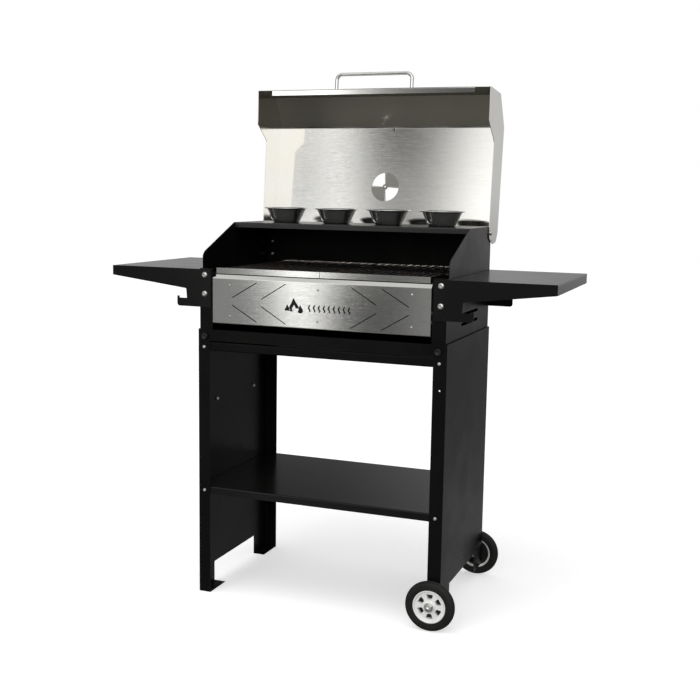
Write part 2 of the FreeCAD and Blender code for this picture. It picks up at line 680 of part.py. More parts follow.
def makeDrawerTray():
    """The fire tray behind the front, with windows behind the slots, and rivets that join the two."""
    w = trayHalfWidth
    low = drawerBottom + 3.0
    face = -196.0 + thinSheet
    wall = 1.2
    tray = box((-w, w), (face, 172), (low, low + 66))
    tray = tray.cut(box((-w + wall, w - wall), (face + wall, 172 - wall), (low + wall, low + 100)))
    tray = tray.fuse(box((-w, w), (face, face + wall), (low, 794)))
    for x in ((-226, -80), (80, 226)):
        tray = tray.cut(box(x, (face - 1, face + 5), (low + 6, 772)))
    for x, z in rivetSpots:
        tray = tray.cut(rod((x, face - 1, z), (x, face + 3, z), 2.0))
    save("drawer_tray", tray.removeSplitter())
    rivets = []
    for x, z in rivetSpots:
        profile = [(0, -4.6), (3.2, -4), (3.2, -2 * thinSheet), (2, -2 * thinSheet), (2, 0), (3.1, 0),
                   (2.4, 1.1), (0, 1.5)]
        rivets.append(turned(profile, (x, -196, z), (0, -1, 0)))
    save("drawer_rivets", *rivets)


def makeCharcoalGrate():
    """Round bars on two cross bars with legs, holding the charcoal off the tray's floor."""
    floor = drawerBottom + 3.0 + 1.2
    height = floor + 22
    bars = [rod((-256 + 512 * k / 24, -180, height), (-256 + 512 * k / 24, 160, height), 2.5)
            for k in range(25)]
    grate = bars[0]
    cross = []
    for y in (-120, -10, 100):
        cross.append(box((-258, 258), (y - 3, y + 3), (height - 6, height - 1)))
        for x in (-240, 0, 240):
            cross.append(box((x - 4, x + 4), (y - 3, y + 3), (floor, height - 4)))
    grate = grate.fuse(bars[1:] + cross)
    save("charcoal_grate", grate.removeSplitter())


# --- Cooking grates ---

def makeCookingGrates():
    """Two lift-out grates side by side: a strip along the front and back edges, and round rods."""
    d = grateHalfDepth
    strip = 1.6
    low, high = grateBottom, grateBottom + grateHeight
    for name, side in (("left", -1), ("right", 1)):
        x = sorted((side * 0.6, side * (0.6 + grateWidth)))
        front = box(x, (-d, -d + strip), (low, high))
        rear = box(x, (d - strip, d), (low, high))
        save(f"grate_strips_{name}", front, rear)
        inner = d - strip
        z = high - rodRadius - 1.4
        first = (grateWidth - 12 * rodSpacing) / 2
        rods = [rod((side * (0.6 + first + rodSpacing * k), -inner, z),
                    (side * (0.6 + first + rodSpacing * k), inner, z), rodRadius) for k in range(13)]
        ends = side * (0.6 + first - 3), side * (0.6 + first + rodSpacing * 12 + 3)
        cross = [rod((ends[0], y, z - 3.6), (ends[1], y, z - 3.6), 2.0) for y in (-150, 0, 150)]
        grate = rods[0].fuse(rods[1:] + cross)
        save(f"grate_rods_{name}", grate.removeSplitter())


# --- Sauce cups ---

def makeCup(name, x):
    """A pressed cup with a flared rim and a wire loop down its side."""
    base = shieldTop + 0.3
    profile = [(0, 0), (33, 0), (35, 1.2), (48.5, 32), (51, 35), (56.5, 36.6), (57.2, 37.4), (56.3, 38),
               (50.5, 36.4), (47.6, 33), (34.2, 2.2), (32.6, 1.0), (0, 1.0)]
    cup = turned(profile, (0, 0, 0), (0, 0, 1))
    drop = 29.0
    out = 53.5
    path = Part.Wire([
        Part.makeLine(V(out, -8, 36), V(out - 8, -8, 36 - drop + 8)),
        Part.Arc(V(out - 8, -8, 36 - drop + 8), V(out - 10, 0, 36 - drop), V(out - 8, 8, 36 - drop + 8))
        .toShape(),
        Part.makeLine(V(out - 8, 8, 36 - drop + 8), V(out, 8, 36)),
    ])
    ring = Part.Wire([Part.makeCircle(1.3, V(out, -8, 36), V(-8, 0, -drop + 8))])
    loop = path.makePipeShell([ring], True, True)
    cup = cup.fuse(loop).removeSplitter()
    cup.rotate(V(0, 0, 0), V(0, 0, 1), -116)
    cup.translate(V(x, cupY, base))
    save(name, cup)


def main():
    os.makedirs("parts", exist_ok=True)
    makeTrolleySides()
    makeTrolleyRails()
    makeBottomShelf()
    makeBasePan()
    makeBodySides()
    makeBodyBack()
    makeSpiceShelf()
    makeGrateRests()
    makeDrawerRails()
    makeSideTables()
    makeTableFasteners()
    makeTrolleyFasteners()
    makeWheel("front_wheel", -1)
    makeWheel("rear_wheel", 1)
    makeAxles()
    makeLidShell()
    makeLidSides()
    makeLidHinges()
    makeLidHandle()
    makeThermometer()
    makeVent()
    makeDrawerFront()
    makeDrawerTray()
    makeCharcoalGrate()
    makeCookingGrates()
    for k in range(4):
        makeCup(f"sauce_cup_{k + 1}", cupSpacing * (k - 1.5))


main()
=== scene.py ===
import bpy
import bmesh
import json
import math
from mathutils import Matrix, Vector


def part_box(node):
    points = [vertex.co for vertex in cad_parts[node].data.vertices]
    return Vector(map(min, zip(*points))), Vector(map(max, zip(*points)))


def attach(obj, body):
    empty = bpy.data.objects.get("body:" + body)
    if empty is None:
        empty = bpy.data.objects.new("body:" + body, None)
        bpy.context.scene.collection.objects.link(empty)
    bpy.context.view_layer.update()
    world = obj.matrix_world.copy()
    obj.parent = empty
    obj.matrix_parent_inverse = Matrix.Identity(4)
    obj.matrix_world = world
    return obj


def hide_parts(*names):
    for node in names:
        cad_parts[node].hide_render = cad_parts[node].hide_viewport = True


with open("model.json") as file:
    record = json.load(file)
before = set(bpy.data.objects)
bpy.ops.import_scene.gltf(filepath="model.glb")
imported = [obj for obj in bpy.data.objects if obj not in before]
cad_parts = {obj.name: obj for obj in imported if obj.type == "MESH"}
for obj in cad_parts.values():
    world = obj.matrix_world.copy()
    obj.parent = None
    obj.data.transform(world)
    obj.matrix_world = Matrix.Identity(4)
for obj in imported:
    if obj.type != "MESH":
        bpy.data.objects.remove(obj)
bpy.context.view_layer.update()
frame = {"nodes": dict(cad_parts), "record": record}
nodes = frame["nodes"]
scene = bpy.context.scene
print("frame loaded:", len(nodes), "nodes")


def addNode(tree, kind, inputs=None, **settings):
    node = tree.nodes.new(kind)
    for name, value in settings.items():
        setattr(node, name, value)
    for key, value in (inputs or {}).items():
        if isinstance(value, bpy.types.NodeSocket):
            tree.links.new(value, node.inputs[key])
        else:
            node.inputs[key].default_value = value
    return node


def math2(tree, operation, a, b=0.0, clamp=False):
    return addNode(tree, "ShaderNodeMath", {0: a, 1: b}, operation=operation, use_clamp=clamp).outputs[0]


def remap(tree, value, low, high, outLow=0.0, outHigh=1.0, smooth=False):
    kind = "SMOOTHSTEP" if smooth else "LINEAR"
    inputs = {"Value": value, "From Min": low, "From Max": high, "To Min": outLow, "To Max": outHigh}
    return addNode(tree, "ShaderNodeMapRange", inputs, interpolation_type=kind).outputs["Result"]


def mixColor(tree, factor, a, b, blend="MIX"):
    inputs = {0: factor, 6: a, 7: b}
    return addNode(tree, "ShaderNodeMix", inputs, data_type="RGBA", blend_type=blend).outputs[2]


def noise(tree, vector, scale, detail=3.0, roughness=0.5):
    inputs = {"Vector": vector, "Scale": scale, "Detail": detail, "Roughness": roughness}
    return addNode(tree, "ShaderNodeTexNoise", inputs).outputs["Fac"]


def ramp(tree, value, stops, smooth="LINEAR"):
    node = addNode(tree, "ShaderNodeValToRGB", {"Fac": value})
    node.color_ramp.interpolation = smooth
    elements = node.color_ramp.elements
    while len(elements) < len(stops):
        elements.new(0.5)
    for element, (position, level) in zip(elements, stops):
        element.position = position
        element.color = (level, level, level, 1) if isinstance(level, float) else (*level, 1)
    return node.outputs["Color"]


def newGroup(name, inputs, outputs):
    tree = bpy.data.node_groups.new(name, "ShaderNodeTree")
    for title, kind, value in inputs:
        socket = tree.interface.new_socket(name=title, in_out="INPUT", socket_type=kind)
        if value is not None:
            socket.default_value = value
    for title, kind in outputs:
        tree.interface.new_socket(name=title, in_out="OUTPUT", socket_type=kind)
    return tree, tree.nodes.new("NodeGroupInput").outputs, tree.nodes.new("NodeGroupOutput").inputs


def useGroup(tree, group, **inputs):
    node = tree.nodes.new("ShaderNodeGroup")
    node.node_tree = group
    for key, value in inputs.items():
        socket = node.inputs[key]
        if isinstance(value, bpy.types.NodeSocket):
            tree.links.new(value, socket)
        else:
            socket.default_value = value
    return node.outputs


# effects that several finishes share
floatSocket, vectorSocket, colorSocket = "NodeSocketFloat", "NodeSocketVector", "NodeSocketColor"


def makeBrushedGroup():
    tree, given, out = newGroup("brushedLines",
                                [("Vector", vectorSocket, None), ("Fineness", floatSocket, 900.0)],
                                [("Lines", floatSocket), ("Strokes", floatSocket)])
    inputs = {"Vector": given["Vector"], "Scale": (0.012, 1, 1)}
    stretched = addNode(tree, "ShaderNodeMapping", inputs).outputs[0]
    fine = noise(tree, stretched, given["Fineness"], 4.0, 0.6)
    coarse = noise(tree, stretched, math2(tree, "MULTIPLY", given["Fineness"], 0.22), 2.0, 0.5)
    tree.links.new(fine, out["Lines"])
    tree.links.new(remap(tree, coarse, 0.3, 0.7), out["Strokes"])
    return tree


def makeGrainGroup():
    tree, given, out = newGroup("powderGrain",
                                [("Vector", vectorSocket, None), ("Size", floatSocket, 0.001)],
                                [("Height", floatSocket), ("Tone", floatSocket)])
    scale = math2(tree, "DIVIDE", 1.0, given["Size"])
    pebbles = noise(tree, given["Vector"], scale, 2.0, 0.45)
    broad = noise(tree, given["Vector"], 9.0, 3.0, 0.5)
    tree.links.new(pebbles, out["Height"])
    tree.links.new(remap(tree, broad, 0.3, 0.7), out["Tone"])
    return tree


# mask for lighter edges: partly wear, partly a painted highlight along every bend and rim
def makeEdgeGroup():
    tree, given, out = newGroup("edgeWearAndGlint",
                                [("Vector", vectorSocket, None), ("Width", floatSocket, 0.0012)],
                                [("Edge", floatSocket)])
    rounded = addNode(tree, "ShaderNodeBevel", {"Radius": given["Width"]}, samples=4).outputs[0]
    flat = addNode(tree, "ShaderNodeNewGeometry").outputs["Normal"]
    inputs = {0: rounded, 1: flat}
    same = addNode(tree, "ShaderNodeVectorMath", inputs, operation="DOT_PRODUCT").outputs["Value"]
    turned = remap(tree, same, 0.995, 0.82)
    broken = remap(tree, noise(tree, given["Vector"], 140.0, 4.0, 0.6), 0.35, 0.62)
    tree.links.new(math2(tree, "MULTIPLY", turned, broken, True), out["Edge"])
    return tree


def makeDustGroup():
    tree, given, out = newGroup("settledDust",
                                [("Vector", vectorSocket, None), ("Amount", floatSocket, 0.3)],
                                [("Dust", floatSocket)])
    normal = addNode(tree, "ShaderNodeNewGeometry").outputs["Normal"]
    up = addNode(tree, "ShaderNodeSeparateXYZ", {0: normal}).outputs["Z"]
    flat = remap(tree, up, 0.35, 0.95)
    clouds = remap(tree, noise(tree, given["Vector"], 22.0, 6.0, 0.65), 0.42, 0.78)
    lying = math2(tree, "MULTIPLY", flat, clouds)
    tree.links.new(math2(tree, "MULTIPLY", lying, given["Amount"], True), out["Dust"])
    return tree


def makeSmudgeGroup():
    tree, given, out = newGroup("smudges",
                                [("Vector", vectorSocket, None), ("Size", floatSocket, 0.1)],
                                [("Smudge", floatSocket)])
    scale = math2(tree, "DIVIDE", 1.0, given["Size"])
    first = noise(tree, given["Vector"], scale, 5.0, 0.55)
    inputs = {"Vector": given["Vector"], "Scale": math2(tree, "MULTIPLY", scale, 0.6)}
    cells = addNode(tree, "ShaderNodeTexVoronoi", inputs, feature="SMOOTH_F1").outputs["Distance"]
    both = math2(tree, "ADD", remap(tree, first, 0.35, 0.7), math2(tree, "MULTIPLY", cells, 0.35))
    tree.links.new(remap(tree, both, 0.1, 1.2), out["Smudge"])
    return tree


def makeHeatGroup():
    tree, given, out = newGroup("heatTint",
                                [("Vector", vectorSocket, None), ("Heat", floatSocket, 0.5)],
                                [("Color", colorSocket)])
    patches = noise(tree, given["Vector"], 7.0, 4.0, 0.55)
    spread = math2(tree, "MULTIPLY", math2(tree, "SUBTRACT", patches, 0.5), 0.7)
    level = math2(tree, "ADD", given["Heat"], spread)
    tint = ramp(tree, level, [(0.0, (1.0, 1.0, 1.0)), (0.35, (1.0, 0.95, 0.82)), (0.6, (0.86, 0.68, 0.5)),
                              (0.8, (0.55, 0.5, 0.62)), (1.0, (0.5, 0.56, 0.68))])
    tree.links.new(tint, out["Color"])
    return tree


brushedLines = makeBrushedGroup()
powderGrain = makeGrainGroup()
edgeWearAndGlint = makeEdgeGroup()
settledDust = makeDustGroup()
smudges = makeSmudgeGroup()
heatTint = makeHeatGroup()


def newMaterial(name):
    material = bpy.data.materials.new(name)
    material.use_nodes = True
    tree = material.node_tree
    shader = tree.nodes["Principled BSDF"]
    place = addNode(tree, "ShaderNodeTexCoord").outputs["Object"]
    return material, tree, shader, place


def bump(tree, shader, height, distance, strength=1.0):
    inputs = {"Height": height, "Distance": distance, "Strength": strength}
    tree.links.new(addNode(tree, "ShaderNodeBump", inputs).outputs[0], shader.inputs["Normal"])


# black powder coat of the trolley, fire box, tables and shelf

def makeCoat(name, look):
    material, tree, shader, place = newMaterial(name)
    grain = useGroup(tree, powderGrain, Vector=place, Size=look["grain"])
    smudge = useGroup(tree, smudges, Vector=place, Size=look["smudgeSize"])["Smudge"]
    edge = useGroup(tree, edgeWearAndGlint, Vector=place, Width=look["edgeWidth"])["Edge"]
    dust = useGroup(tree, settledDust, Vector=place, Amount=look["dust"])["Dust"]
    paint = mixColor(tree, grain["Tone"], (*look["dark"], 1), (*look["light"], 1))
    # edges made lighter: partly worn paint, partly painted highlight
    wornAndGlinting = mixColor(tree, math2(tree, "MULTIPLY", edge, look["edgeShow"]), paint, (*look["edgeColor"], 1))
    dusty = mixColor(tree, dust, wornAndGlinting, (*look["dustColor"], 1))
    tree.links.new(dusty, shader.inputs["Base Color"])
    patches = remap(tree, smudge, 0, 1, look["rough"] - look["patchy"], look["rough"] + look["patchy"])
    rough = math2(tree, "ADD", patches, math2(tree, "MULTIPLY", dust, 0.4))
    tree.links.new(rough, shader.inputs["Roughness"])
    shader.inputs["Specular IOR Level"].default_value = look["shine"]
    bump(tree, shader, grain["Height"], look["relief"])
    return material


blackCoat = makeCoat("blackPowderCoat", dict(
    patchy=0.06, dark=(0.0026, 0.0026, 0.0025), light=(0.0046, 0.0046, 0.0043), rough=0.3, shine=0.12,
    grain=0.0011, relief=0.000035, smudgeSize=0.12, edgeWidth=0.0011, edgeShow=0.35,
    edgeColor=(0.02, 0.02, 0.019), dust=0.05, dustColor=(0.09, 0.085, 0.08)))
tableCoat = makeCoat("tablePowderCoat", dict(
    patchy=0.012, dark=(0.0026, 0.0026, 0.0025), light=(0.0046, 0.0046, 0.0043), rough=0.19, shine=0.3,
    grain=0.0011, relief=0.00001, smudgeSize=0.1, edgeWidth=0.0011, edgeShow=0.35,
    edgeColor=(0.02, 0.02, 0.019), dust=0.03, dustColor=(0.09, 0.085, 0.08)))
# painted light: the condiment shelf's black coat is made about three times lighter than the same coat
# elsewhere, so the lid's shoulder mirrors a lighter shelf
shelfPaintedLightCoat = makeCoat("shelfPaintedLightCoat", dict(
    patchy=0.03, dark=(0.008, 0.008, 0.0075), light=(0.014, 0.0138, 0.013), rough=0.24, shine=0.45,
    grain=0.0011, relief=0.00001, smudgeSize=0.06, edgeWidth=0.0011, edgeShow=0.35,
    edgeColor=(0.05, 0.05, 0.048), dust=0.04, dustColor=(0.12, 0.115, 0.11)))
sootedCoat = makeCoat("sootedCoat", dict(
    patchy=0.06, dark=(0.0022, 0.002, 0.0018), light=(0.006, 0.0052, 0.0045), rough=0.62, shine=0.08,
    grain=0.0014, relief=0.00006, smudgeSize=0.05, edgeWidth=0.0012, edgeShow=0.25,
    edgeColor=(0.03, 0.028, 0.026), dust=0.12, dustColor=(0.06, 0.055, 0.05)))
trayEnamel = makeCoat("trayEnamel", dict(
    patchy=0.08, dark=(0.006, 0.0055, 0.005), light=(0.02, 0.018, 0.016), rough=0.6, shine=0.15,
    grain=0.002, relief=0.0001, smudgeSize=0.04, edgeWidth=0.0014, edgeShow=0.5,
    edgeColor=(0.09, 0.07, 0.055), dust=0.75, dustColor=(0.22, 0.21, 0.2)))
print("powder coats made")


# brushed stainless of the lid, drawer front, grate strips and damper

# colour of the painted shade inside the lid's hood
hoodShadeColor = (0.5, 0.48, 0.41, 1)


def paintedHoodShade(tree, place, amount):
    # painted shade: the inside of the lid's hood, above the shoulder bend, behind the lip, on faces turned
    # in, is coloured a darker olive and is also made rougher
    spot = addNode(tree, "ShaderNodeSeparateXYZ", {0: place}).outputs
    normal = addNode(tree, "ShaderNodeTexCoord").outputs["Normal"]
    facing = addNode(tree, "ShaderNodeSeparateXYZ", {0: normal}).outputs
    high = remap(tree, spot["Z"], 1.181, 1.19)
    behind = remap(tree, spot["Y"], 0.136, 0.142)
    inward = remap(tree, math2(tree, "ADD", facing["Y"], facing["Z"]), -0.2, -0.5)
    inside = math2(tree, "MULTIPLY", high, behind)
    return math2(tree, "MULTIPLY", inside, math2(tree, "MULTIPLY", inward, amount))


def makeStainless(name, look):
    material, tree, shader, place = newMaterial(name)
    turned = addNode(tree, "ShaderNodeMapping", {"Vector": place, "Rotation": look["turn"]}).outputs[0]
    brushed = useGroup(tree, brushedLines, Vector=turned, Fineness=look["fineness"])
    smudge = useGroup(tree, smudges, Vector=place, Size=look["smudgeSize"])["Smudge"]
    edge = useGroup(tree, edgeWearAndGlint, Vector=place, Width=0.0009)["Edge"]
    tint = useGroup(tree, heatTint, Vector=place, Heat=look["heat"])["Color"]
    steel = mixColor(tree, brushed["Lines"], (*look["dark"], 1), (*look["light"], 1))
    steel = mixColor(tree, look["tintShow"], steel, mixColor(tree, 1.0, steel, tint, "MULTIPLY"))
    # edges made almost white: painted highlight, partly wear
    steel = mixColor(tree, math2(tree, "MULTIPLY", edge, 0.5), steel, (0.9, 0.9, 0.88, 1))
    # painted shade: the hood's inside is darkened towards this olive colour
    hoodShade = paintedHoodShade(tree, place, look["hoodShade"])
    steel = mixColor(tree, hoodShade, steel, hoodShadeColor)
    tree.links.new(steel, shader.inputs["Base Color"])
    shader.inputs["Metallic"].default_value = 1.0
    rough = math2(tree, "ADD", remap(tree, brushed["Strokes"], 0, 1, look["rough"], look["rough"] + 0.02),
                  math2(tree, "MULTIPLY", smudge, look["smudgeRough"]))
    tree.links.new(math2(tree, "ADD", rough, math2(tree, "MULTIPLY", hoodShade, 0.36)), shader.inputs["Roughness"])
    bump(tree, shader, brushed["Lines"], look["relief"])
    return material


lidSteel = makeStainless("lidSteel", dict(
    turn=(0, 0, 0), fineness=1500.0, dark=(0.65, 0.645, 0.625), light=(0.72, 0.715, 0.69), rough=0.035,
    smudgeSize=0.16, smudgeRough=0.025, relief=0.000028, heat=0.12, tintShow=0.3, hoodShade=1.0))
cheekSteel = makeStainless("cheekSteel", dict(
    turn=(0, math.radians(90), 0), hoodShade=0.0, fineness=1500.0, dark=(0.58, 0.57, 0.55),
    light=(0.74, 0.73, 0.71), rough=0.12, smudgeSize=0.12, smudgeRough=0.05, relief=0.000028, heat=0.1,
    tintShow=0.4))
frontSteel = makeStainless("frontSteel", dict(
    turn=(0, 0, 0), fineness=1500.0, dark=(0.63, 0.63, 0.61), light=(0.71, 0.71, 0.69), rough=0.04,
    smudgeSize=0.1, smudgeRough=0.025, relief=0.000026, heat=0.08, tintShow=0.3, hoodShade=0.0))
damperSteel = makeStainless("damperSteel", dict(
    turn=(0, 0, 0.6), hoodShade=0.0, fineness=700.0, dark=(0.2, 0.2, 0.195), light=(0.28, 0.28, 0.27),
    rough=0.26,
    smudgeSize=0.03, smudgeRough=0.08, relief=0.00005, heat=0.3, tintShow=0.6))
print("stainless made")


# smooth metals of the cups, handle, screws and grate rods

def makeBright(name, look):
    material, tree, shader, place = newMaterial(name)
    smudge = useGroup(tree, smudges, Vector=place, Size=look["smudgeSize"])["Smudge"]
    edge = useGroup(tree, edgeWearAndGlint, Vector=place, Width=look["edgeWidth"])["Edge"]
    tint = useGroup(tree, heatTint, Vector=place, Heat=look["heat"])["Color"]
    metal = mixColor(tree, smudge, (*look["light"], 1), (*look["dark"], 1))
    metal = mixColor(tree, look["tintShow"], metal, mixColor(tree, 1.0, metal, tint, "MULTIPLY"))
    # edges made lighter: painted highlight, partly wear
    metal = mixColor(tree, math2(tree, "MULTIPLY", edge, 0.6), metal, (*look["edgeColor"], 1))
    tree.links.new(metal, shader.inputs["Base Color"])
    shader.inputs["Metallic"].default_value = 1.0
    tree.links.new(remap(tree, smudge, 0, 1, look["rough"], look["rough"] + look["roughSpread"]),
                   shader.inputs["Roughness"])
    bump(tree, shader, noise(tree, place, look["pitting"], 4.0, 0.6), look["relief"])
    return material


def makeCupSteel():
    # turned on a lathe, so its fine lines run round the wall and smear what it mirrors up and down
    material, tree, shader, place = newMaterial("cupSteel")
    around = addNode(tree, "ShaderNodeMapping", {"Vector": place, "Scale": (0.03, 0.03, 1)}).outputs[0]
    lines = noise(tree, around, 1500.0, 4.0, 0.6)
    smudge = useGroup(tree, smudges, Vector=place, Size=0.02)["Smudge"]
    edge = useGroup(tree, edgeWearAndGlint, Vector=place, Width=0.0006)["Edge"]
    metal = mixColor(tree, lines, (0.5, 0.5, 0.49, 1), (0.66, 0.66, 0.65, 1))
    # edges made almost white: painted highlight, partly wear
    metal = mixColor(tree, math2(tree, "MULTIPLY", edge, 0.5), metal, (0.88, 0.88, 0.87, 1))
    tree.links.new(metal, shader.inputs["Base Color"])
    shader.inputs["Metallic"].default_value = 1.0
    tree.links.new(remap(tree, smudge, 0, 1, 0.06, 0.14), shader.inputs["Roughness"])
    bump(tree, shader, lines, 0.0002)
    return material


cupSteel = makeCupSteel()
tubeSteel = makeBright("tubeSteel", dict(
    light=(0.78, 0.78, 0.77), dark=(0.66, 0.66, 0.65), edgeColor=(0.9, 0.9, 0.9), edgeWidth=0.0005,
    rough=0.08, roughSpread=0.09, smudgeSize=0.03, pitting=300.0, relief=0.000006, heat=0.05, tintShow=0.2))
# painted highlight: a much lighter copy of the cup's steel for the rolled rim and the wire loop
rimHighlightSteel = makeBright("rimHighlightSteel", dict(
    light=(0.92, 0.92, 0.91), dark=(0.84, 0.84, 0.83), edgeColor=(0.95, 0.95, 0.95), edgeWidth=0.0004,
    rough=0.16, roughSpread=0.08, smudgeSize=0.02, pitting=400.0, relief=0.000004, heat=0.0, tintShow=0.1))
screwSteel = makeBright("screwSteel", dict(
    light=(0.78, 0.78, 0.76), dark=(0.55, 0.55, 0.53), edgeColor=(0.92, 0.92, 0.9), edgeWidth=0.0004,
    rough=0.22, roughSpread=0.15, smudgeSize=0.006, pitting=900.0, relief=0.000012, heat=0.1, tintShow=0.25))
rodSteel = makeBright("rodSteel", dict(
    light=(0.5, 0.485, 0.465), dark=(0.16, 0.15, 0.14), edgeColor=(0.3, 0.28, 0.26), edgeWidth=0.0006,
    rough=0.3, roughSpread=0.3, smudgeSize=0.03, pitting=500.0, relief=0.00006, heat=0.7, tintShow=0.8))
print("bright metals made")


# plastics, rubber and glass

def makeMoulded(name, look):
    material, tree, shader, place = newMaterial(name)
    grain = useGroup(tree, powderGrain, Vector=place, Size=look["grain"])
    edge = useGroup(tree, edgeWearAndGlint, Vector=place, Width=look["edgeWidth"])["Edge"]
    dirt = useGroup(tree, smudges, Vector=place, Size=look["dirtSize"])["Smudge"]
    base = mixColor(tree, grain["Tone"], (*look["dark"], 1), (*look["light"], 1))
    # edges made lighter: partly scuffs, partly painted highlight
    scuffedAndGlinting = mixColor(tree, math2(tree, "MULTIPLY", edge, look["edgeShow"]), base, (*look["edgeColor"], 1))
    dirty = mixColor(tree, math2(tree, "MULTIPLY", dirt, look["dirt"]), scuffedAndGlinting, (*look["dirtColor"], 1))
    tree.links.new(dirty, shader.inputs["Base Color"])
    tree.links.new(remap(tree, dirt, 0, 1, look["rough"], look["rough"] + 0.15), shader.inputs["Roughness"])
    shader.inputs["Specular IOR Level"].default_value = look["shine"]
    bump(tree, shader, grain["Height"], look["relief"])
    return material


tyreRubber = makeMoulded("tyreRubber", dict(
    dark=(0.006, 0.006, 0.0058), light=(0.012, 0.012, 0.0115), grain=0.0009, edgeWidth=0.001, edgeShow=0.4,
    edgeColor=(0.035, 0.034, 0.032), dirtSize=0.03, dirt=0.12, dirtColor=(0.06, 0.055, 0.05), rough=0.5,
    shine=0.25, relief=0.00004))
hubPlastic = makeMoulded("hubPlastic", dict(
    dark=(0.8, 0.8, 0.79), light=(0.88, 0.88, 0.87), grain=0.0006, edgeWidth=0.0008, edgeShow=0.3,
    edgeColor=(0.92, 0.92, 0.91), dirtSize=0.025, dirt=0.07, dirtColor=(0.3, 0.29, 0.27), rough=0.38,
    shine=0.5, relief=0.00001))
knobPlastic = makeMoulded("knobPlastic", dict(
    dark=(0.005, 0.005, 0.005), light=(0.011, 0.011, 0.011), grain=0.0007, edgeWidth=0.0006, edgeShow=0.5,
    edgeColor=(0.04, 0.04, 0.04), dirtSize=0.008, dirt=0.1, dirtColor=(0.06, 0.06, 0.055), rough=0.34,
    shine=0.4, relief=0.00002))


def makeGlass():
    material, tree, shader, place = newMaterial("gaugeGlass")
    smudge = useGroup(tree, smudges, Vector=place, Size=0.012)["Smudge"]
    shader.inputs["Transmission Weight"].default_value = 1.0
    shader.inputs["IOR"].default_value = 1.45
    tint = mixColor(tree, smudge, (0.98, 1.0, 1.0, 1), (0.93, 0.95, 0.94, 1))
    tree.links.new(tint, shader.inputs["Base Color"])
    tree.links.new(remap(tree, smudge, 0, 1, 0.01, 0.09), shader.inputs["Roughness"])
    return material


gaugeGlass = makeGlass()
print("plastics, rubber and glass made")

finishOfSlot = dict(
    black_powder_coat=blackCoat, brushed_stainless=lidSteel, black_enamel=trayEnamel, grate_steel=rodSteel,
    polished_tube=tubeSteel, cup_steel=cupSteel, bright_fasteners=screwSteel, black_knob=knobPlastic,
    wheel_rubber=tyreRubber, wheel_hub=hubPlastic, gauge_glass=gaugeGlass, gauge_dial=hubPlastic)
finishOfNode = dict(
    side_table_left=tableCoat, side_table_right=tableCoat, bottom_shelf=tableCoat,
    condiment_shelf=shelfPaintedLightCoat, body_back=sootedCoat,
    grate_rest_front=sootedCoat, grate_rest_rear=sootedCoat, grate_rest_left=sootedCoat,
    grate_rest_right=sootedCoat, drawer_rail_left=sootedCoat, drawer_rail_right=sootedCoat,
    lid_side_left=cheekSteel, lid_side_right=cheekSteel, vent_damper=damperSteel,
    drawer_front=frontSteel, grate_strips_left=frontSteel, grate_strips_right=frontSteel)
slotOfNode = {entry["node"]: entry["material_slot"] for entry in frame["record"]["subparts"]}
for name, piece in nodes.items():
    piece.data.materials.clear()
    piece.data.materials.append(finishOfNode.get(name, finishOfSlot[slotOfNode[name]]))
print("finishes given to the carried-over nodes")


# helpers for the pieces; sizes are in millimetres until a piece is set in place

millimetre = Matrix.Scale(0.001, 4)


def spinProfile(build, profile, steps, place):
    # profile lists (radius, height) corners; one that starts on the axis also ends on it
    before = set(build.verts)
    points = [build.verts.new((radius, 0, height)) for radius, height in profile]
    edges = [build.edges.new(pair) for pair in zip(points, points[1:])]
    if profile[0][0] > 0:
        edges.append(build.edges.new((points[-1], points[0])))
    bmesh.ops.spin(build, geom=points + edges, cent=(0, 0, 0), axis=(0, 0, 1), angle=math.tau, steps=steps,
                   use_merge=True)
    made = [vert for vert in build.verts if vert not in before]
    bmesh.ops.transform(build, matrix=place @ millimetre, verts=made)
    return made


def thicken(build, depth):
    # turns a flat sheet of faces into a plate that reaches depth along Z
    thick = bmesh.ops.extrude_face_region(build, geom=list(build.faces), use_keep_orig=True)
    moved = [item for item in thick["geom"] if isinstance(item, bmesh.types.BMVert)]
    bmesh.ops.translate(build, vec=(0, 0, depth), verts=moved)


def addCurve(build, curve, place):
    # makes a curve or text a mesh, set in place, and adds it to the piece
    holder = bpy.data.objects.new(curve.name, curve)
    mesh = bpy.data.meshes.new_from_object(holder)
    mesh.transform(place)
    build.from_mesh(mesh)
    bpy.data.objects.remove(holder)
    bpy.data.curves.remove(curve)
    bpy.data.meshes.remove(mesh)


def addTube(build, corners, radius, place, cyclic=False):
    # corners lists (point, handle before, handle after) of one smooth wire
    curve = bpy.data.curves.new("wire", "CURVE")
    curve.dimensions = "3D"
    curve.bevel_depth = radius
    curve.bevel_resolution = 5
    curve.resolution_u = 10
    curve.use_fill_caps = True
    line = curve.splines.new("BEZIER")
    line.bezier_points.add(len(corners) - 1)
    line.use_cyclic_u = cyclic
    for point, (spot, before, after) in zip(line.bezier_points, corners):
        point.co, point.handle_left, point.handle_right = spot, before, after
    addCurve(build, curve, place @ millimetre)


def newPiece(name, build, material, body, replaced=(), sharp=35, edge=0.0, flip=True):
    bmesh.ops.remove_doubles(build, verts=build.verts, dist=1e-6)
    if flip:
        bmesh.ops.recalc_face_normals(build, faces=build.faces)
    for face in build.faces:
        face.smooth = True
    mesh = bpy.data.meshes.new(name)
    build.to_mesh(mesh)
    build.free()
    mesh.set_sharp_from_angle(angle=math.radians(sharp))
    mesh.materials.append(material)
    piece = bpy.data.objects.new(name, mesh)
    scene.collection.objects.link(piece)
    if edge:
        soft = piece.modifiers.new("softEdges", "BEVEL")
        soft.width = edge
        soft.segments = 2
        soft.limit_method = "ANGLE"
        soft.angle_limit = math.radians(sharp)
    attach(piece, body)
    if replaced:
        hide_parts(*replaced)
    return piece


def middle(node):
    low, high = (Vector(corner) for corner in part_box(node))
    return (low + high) / 2


# wheels: rubber tyre, windowed hub and dome nut

